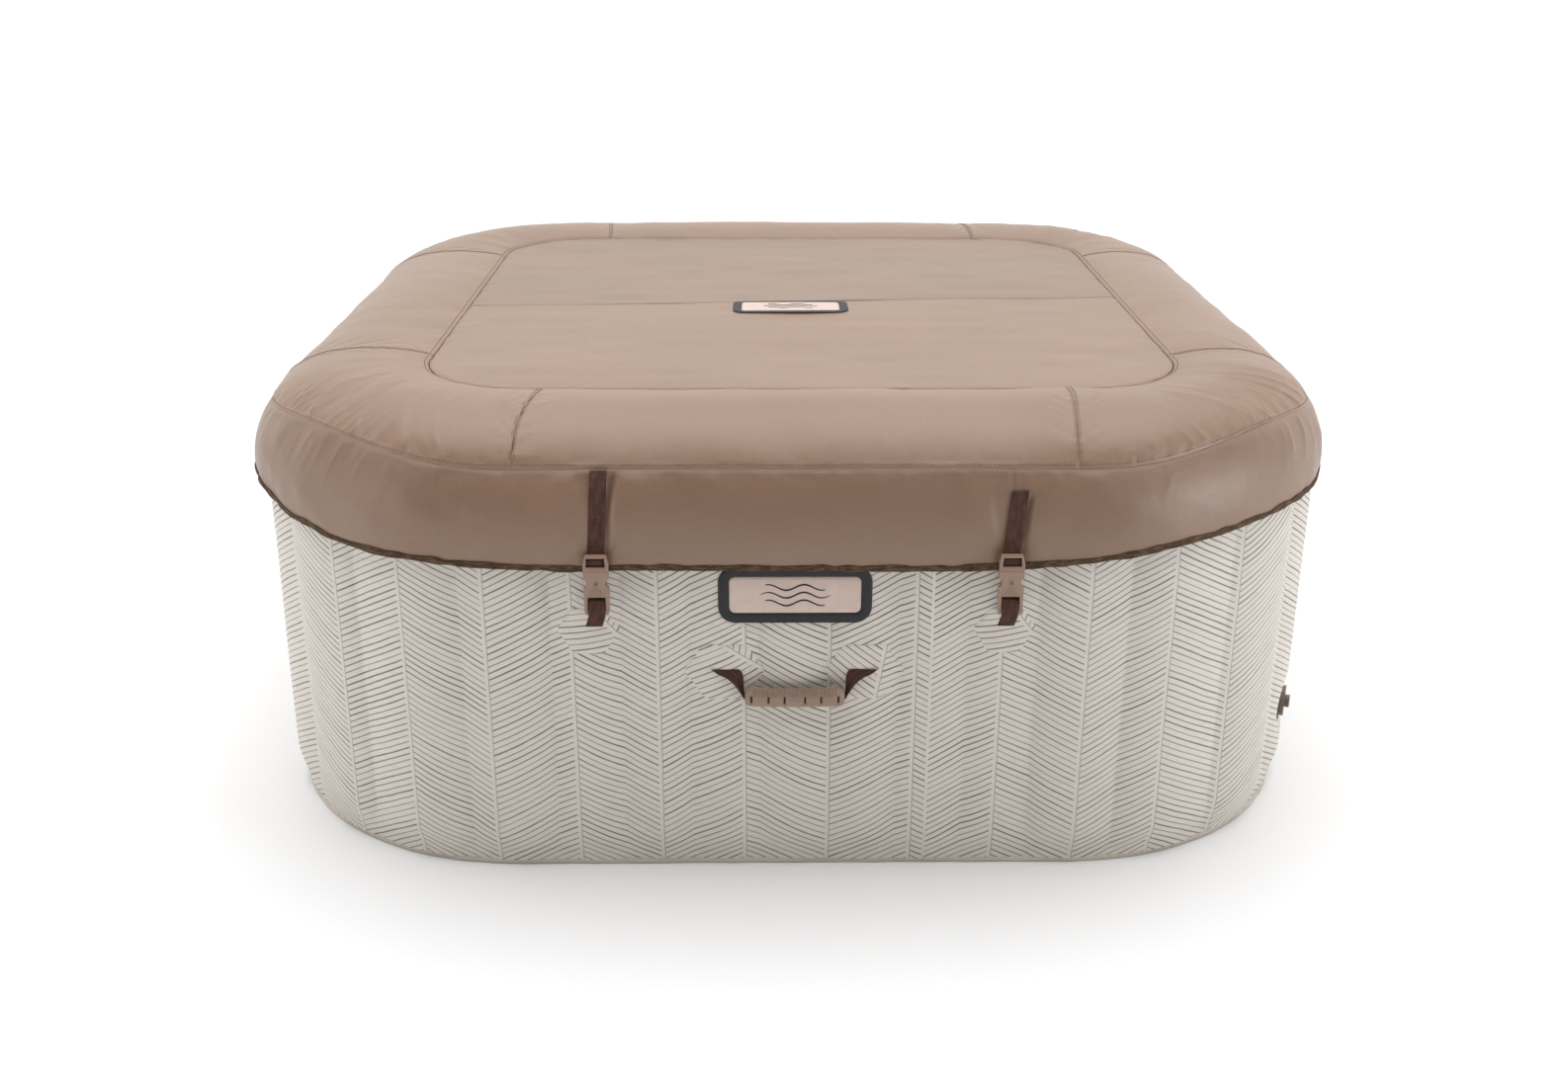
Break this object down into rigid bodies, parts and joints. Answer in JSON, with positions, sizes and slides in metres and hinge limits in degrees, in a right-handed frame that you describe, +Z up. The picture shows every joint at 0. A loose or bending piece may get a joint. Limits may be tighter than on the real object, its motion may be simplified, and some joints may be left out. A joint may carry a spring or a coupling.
{
  "type": "inflatable hot tub",
  "caption": "Square inflatable hot tub with rounded corners, slatted-print wall, carrying handles and a padded fabric cover held down by side-release buckles.",
  "frame": {"origin": "centre of the tub's footprint, on the ground", "axes": "+Z up; -Y faces the front, with the badge and a carrying handle; +X is the plumbing side"},
  "size_m": [1.8392, 1.8392, 0.7225],
  "materials": {
    "printed_vinyl": "satin laminated vinyl with a printed slatted pattern of thin slanting lines",
    "liner_vinyl": "satin laminated vinyl, plain",
    "floor_vinyl": "satin vinyl, plain",
    "web_fabric": "coated polyester",
    "cover_fabric": "coated woven polyester, satin taupe",
    "binding_tape": "folded woven tape, dark brown",
    "webbing": "ribbed polypropylene webbing, dark brown",
    "lining_film": "thin silver-grey film",
    "buckle_plastic": "moulded acetal, satin taupe",
    "badge": "welded soft badge, satin",
    "port_plastic": "moulded plastic, satin dark grey",
    "valve_plastic": "moulded soft plastic, dark",
    "cap_plastic": "moulded plastic, satin beige",
    "seal_rubber": "matte rubber",
    "slider_metal": "painted die-cast zip slider"
  },
  "bodies": {
    "tub": {"air_feed_hose": "valve_plastic", "air_jet_channel": "liner_vinyl", "air_port": "port_plastic", "air_valve_body": "valve_plastic", "base_welt": "liner_vinyl", "buckle_sockets": "buckle_plastic", "drain_valve_body": "valve_plastic", "floor_sheet": "floor_vinyl", "handle_patches": "printed_vinyl", "inner_wall": "liner_vinyl", "outer_wall": "printed_vinyl", "port_seals": "seal_rubber", "return_port": "port_plastic", "strap_patches": "printed_vinyl", "suction_port": "port_plastic", "tension_webs": "web_fabric", "top_rim": "liner_vinyl", "wall_badge": "badge", "wall_straps": "webbing"},
    "cover": {"buckle_plugs": "buckle_plastic", "cover_badge": "badge", "cover_bladder": "lining_film", "cover_border_panels": "cover_fabric", "cover_centre_front": "cover_fabric", "cover_centre_rear": "cover_fabric", "cover_corner_panels": "cover_fabric", "cover_lining": "lining_film", "cover_skirt": "cover_fabric", "cover_straps": "webbing", "hem_binding": "binding_tape", "zipper_tape": "binding_tape"},
    "zip_slider": {"zipper_slider": "slider_metal"},
    "suction_strainer": {"suction_strainer": "port_plastic"},
    "return_strainer": {"return_strainer": "port_plastic"},
    "air_valve_cap": {"air_valve_cap": "cap_plastic"},
    "drain_valve_cap": {"drain_valve_cap": "cap_plastic"},
    "drain_plug": {"drain_plug": "cap_plastic"},
    "handle_front": {"handle_front_grip": "buckle_plastic", "handle_front_webbing": "webbing"},
    "handle_back": {"handle_back_grip": "buckle_plastic", "handle_back_webbing": "webbing"},
    "handle_left": {"handle_left_grip": "buckle_plastic", "handle_left_webbing": "webbing"},
    "prong_back_a_left": {"prong_back_a_left": "buckle_plastic"},
    "prong_back_a_right": {"prong_back_a_right": "buckle_plastic"},
    "prong_back_b_left": {"prong_back_b_left": "buckle_plastic"},
    "prong_back_b_right": {"prong_back_b_right": "buckle_plastic"},
    "prong_front_a_left": {"prong_front_a_left": "buckle_plastic"},
    "prong_front_a_right": {"prong_front_a_right": "buckle_plastic"},
    "prong_front_b_left": {"prong_front_b_left": "buckle_plastic"},
    "prong_front_b_right": {"prong_front_b_right": "buckle_plastic"},
    "prong_left_a_left": {"prong_left_a_left": "buckle_plastic"},
    "prong_left_a_right": {"prong_left_a_right": "buckle_plastic"},
    "prong_left_b_left": {"prong_left_b_left": "buckle_plastic"},
    "prong_left_b_right": {"prong_left_b_right": "buckle_plastic"},
    "prong_right_a_left": {"prong_right_a_left": "buckle_plastic"},
    "prong_right_a_right": {"prong_right_a_right": "buckle_plastic"},
    "prong_right_b_left": {"prong_right_b_left": "buckle_plastic"},
    "prong_right_b_right": {"prong_right_b_right": "buckle_plastic"}
  },
  "joints": [
    {"name": "cover_lift", "type": "slide", "parent": "tub", "child": "cover", "axis": [0, 0, 1], "range_m": [0, 0.45]},
    {"name": "zip_run", "type": "slide", "parent": "cover", "child": "zip_slider", "axis": [1, 0, 0], "range_m": [0, 0.845]},
    {"name": "prong_front_a_left_squeeze", "type": "hinge", "parent": "cover", "child": "prong_front_a_left", "pos_m": [0.328, -0.9115, 0.5274], "axis": [0, 1, 0], "range_deg": [0, 6], "stiffness_Nm_per_rad": 0.02},
    {"name": "prong_front_a_right_squeeze", "type": "hinge", "parent": "cover", "child": "prong_front_a_right", "pos_m": [0.307, -0.9115, 0.5274], "axis": [0, -1, 0], "range_deg": [0, 6], "stiffness_Nm_per_rad": 0.02},
    {"name": "prong_front_b_left_squeeze", "type": "hinge", "parent": "cover", "child": "prong_front_b_left", "pos_m": [-0.2825, -0.9115, 0.5274], "axis": [0, 1, 0], "range_deg": [0, 6], "stiffness_Nm_per_rad": 0.02},
    {"name": "prong_front_b_right_squeeze", "type": "hinge", "parent": "cover", "child": "prong_front_b_right", "pos_m": [-0.3035, -0.9115, 0.5274], "axis": [0, -1, 0], "range_deg": [0, 6], "stiffness_Nm_per_rad": 0.02},
    {"name": "prong_right_a_left_squeeze", "type": "hinge", "parent": "cover", "child": "prong_right_a_left", "pos_m": [0.9115, 0.328, 0.5274], "axis": [-1, 0, 0], "range_deg": [0, 6], "stiffness_Nm_per_rad": 0.02},
    {"name": "prong_right_a_right_squeeze", "type": "hinge", "parent": "cover", "child": "prong_right_a_right", "pos_m": [0.9115, 0.307, 0.5274], "axis": [1, 0, 0], "range_deg": [0, 6], "stiffness_Nm_per_rad": 0.02},
    {"name": "prong_right_b_left_squeeze", "type": "hinge", "parent": "cover", "child": "prong_right_b_left", "pos_m": [0.9115, -0.2825, 0.5274], "axis": [-1, 0, 0], "range_deg": [0, 6], "stiffness_Nm_per_rad": 0.02},
    {"name": "prong_right_b_right_squeeze", "type": "hinge", "parent": "cover", "child": "prong_right_b_right", "pos_m": [0.9115, -0.3035, 0.5274], "axis": [1, 0, 0], "range_deg": [0, 6], "stiffness_Nm_per_rad": 0.02},
    {"name": "prong_back_a_left_squeeze", "type": "hinge", "parent": "cover", "child": "prong_back_a_left", "pos_m": [-0.328, 0.9115, 0.5274], "axis": [0, -1, 0], "range_deg": [0, 6], "stiffness_Nm_per_rad": 0.02},
    {"name": "prong_back_a_right_squeeze", "type": "hinge", "parent": "cover", "child": "prong_back_a_right", "pos_m": [-0.307, 0.9115, 0.5274], "axis": [0, 1, 0], "range_deg": [0, 6], "stiffness_Nm_per_rad": 0.02},
    {"name": "prong_back_b_left_squeeze", "type": "hinge", "parent": "cover", "child": "prong_back_b_left", "pos_m": [0.2825, 0.9115, 0.5274], "axis": [0, -1, 0], "range_deg": [0, 6], "stiffness_Nm_per_rad": 0.02},
    {"name": "prong_back_b_right_squeeze", "type": "hinge", "parent": "cover", "child": "prong_back_b_right", "pos_m": [0.3035, 0.9115, 0.5274], "axis": [0, 1, 0], "range_deg": [0, 6], "stiffness_Nm_per_rad": 0.02},
    {"name": "prong_left_a_left_squeeze", "type": "hinge", "parent": "cover", "child": "prong_left_a_left", "pos_m": [-0.9115, -0.328, 0.5274], "axis": [1, 0, 0], "range_deg": [0, 6], "stiffness_Nm_per_rad": 0.02},
    {"name": "prong_left_a_right_squeeze", "type": "hinge", "parent": "cover", "child": "prong_left_a_right", "pos_m": [-0.9115, -0.307, 0.5274], "axis": [-1, 0, 0], "range_deg": [0, 6], "stiffness_Nm_per_rad": 0.02},
    {"name": "prong_left_b_left_squeeze", "type": "hinge", "parent": "cover", "child": "prong_left_b_left", "pos_m": [-0.9115, 0.2825, 0.5274], "axis": [1, 0, 0], "range_deg": [0, 6], "stiffness_Nm_per_rad": 0.02},
    {"name": "prong_left_b_right_squeeze", "type": "hinge", "parent": "cover", "child": "prong_left_b_right", "pos_m": [-0.9115, 0.3035, 0.5274], "axis": [-1, 0, 0], "range_deg": [0, 6], "stiffness_Nm_per_rad": 0.02},
    {"name": "handle_front_swing", "type": "hinge", "parent": "tub", "child": "handle_front", "pos_m": [0, -0.8795, 0.348], "axis": [-1, 0, 0], "range_deg": [0, 100]},
    {"name": "handle_back_swing", "type": "hinge", "parent": "tub", "child": "handle_back", "pos_m": [0, 0.8795, 0.348], "axis": [1, 0, 0], "range_deg": [0, 100]},
    {"name": "handle_left_swing", "type": "hinge", "parent": "tub", "child": "handle_left", "pos_m": [-0.8795, 0, 0.348], "axis": [0, 1, 0], "range_deg": [0, 100]},
    {"name": "drain_cap_pull", "type": "slide", "parent": "tub", "child": "drain_valve_cap", "axis": [0.9397, -0.342, 0], "range_m": [0, 0.03]},
    {"name": "drain_plug_pull", "type": "slide", "parent": "tub", "child": "drain_plug", "axis": [-0.9397, 0.342, 0], "range_m": [0, 0.04]},
    {"name": "air_cap_pull", "type": "slide", "parent": "tub", "child": "air_valve_cap", "axis": [1, 0, 0], "range_m": [0, 0.03]},
    {"name": "suction_strainer_pull", "type": "slide", "parent": "tub", "child": "suction_strainer", "axis": [-1, 0, 0], "range_m": [0, 0.05]},
    {"name": "return_strainer_pull", "type": "slide", "parent": "tub", "child": "return_strainer", "axis": [-1, 0, 0], "range_m": [0, 0.05]}
  ],
  "couplings": [
    {"joint": "prong_front_a_right_squeeze", "follows": "prong_front_a_left_squeeze", "ratio": 1},
    {"joint": "prong_front_b_right_squeeze", "follows": "prong_front_b_left_squeeze", "ratio": 1},
    {"joint": "prong_right_a_right_squeeze", "follows": "prong_right_a_left_squeeze", "ratio": 1},
    {"joint": "prong_right_b_right_squeeze", "follows": "prong_right_b_left_squeeze", "ratio": 1},
    {"joint": "prong_back_a_right_squeeze", "follows": "prong_back_a_left_squeeze", "ratio": 1},
    {"joint": "prong_back_b_right_squeeze", "follows": "prong_back_b_left_squeeze", "ratio": 1},
    {"joint": "prong_left_a_right_squeeze", "follows": "prong_left_a_left_squeeze", "ratio": 1},
    {"joint": "prong_left_b_right_squeeze", "follows": "prong_left_b_left_squeeze", "ratio": 1}
  ]
}
